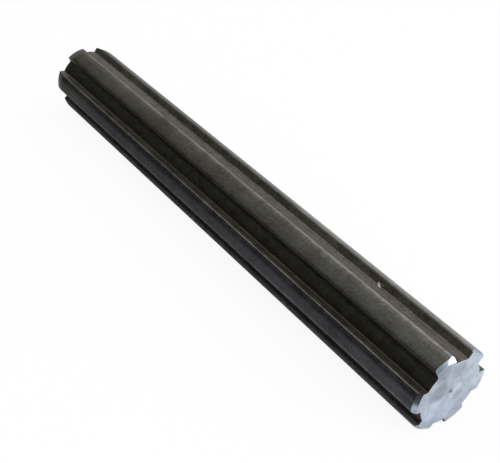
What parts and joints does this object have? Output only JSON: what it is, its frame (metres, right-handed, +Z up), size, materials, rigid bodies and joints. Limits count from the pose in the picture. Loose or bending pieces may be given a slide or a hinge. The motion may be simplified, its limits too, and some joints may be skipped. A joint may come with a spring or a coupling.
{
  "type": "splined shaft",
  "caption": "Straight steel bar with straight-sided splines along its whole length, faced ends, a small chamfer at one end and a long shallow lead-in at the other.",
  "frame": {"origin": "on the shaft's axis, at mid-length", "axes": "+X along the shaft; +Z up, with the shaft lying on two neighbouring splines and a groove straight down; +Y across, through the middle of a spline"},
  "size_m": [0.2666, 0.035, 0.0334],
  "materials": {
    "dark_steel": "dark drawn steel with a thin film of oil; the sawn and faced ends are bright"
  },
  "bodies": {
    "root": {"splined_shaft": "dark_steel"}
  },
  "joints": []
}
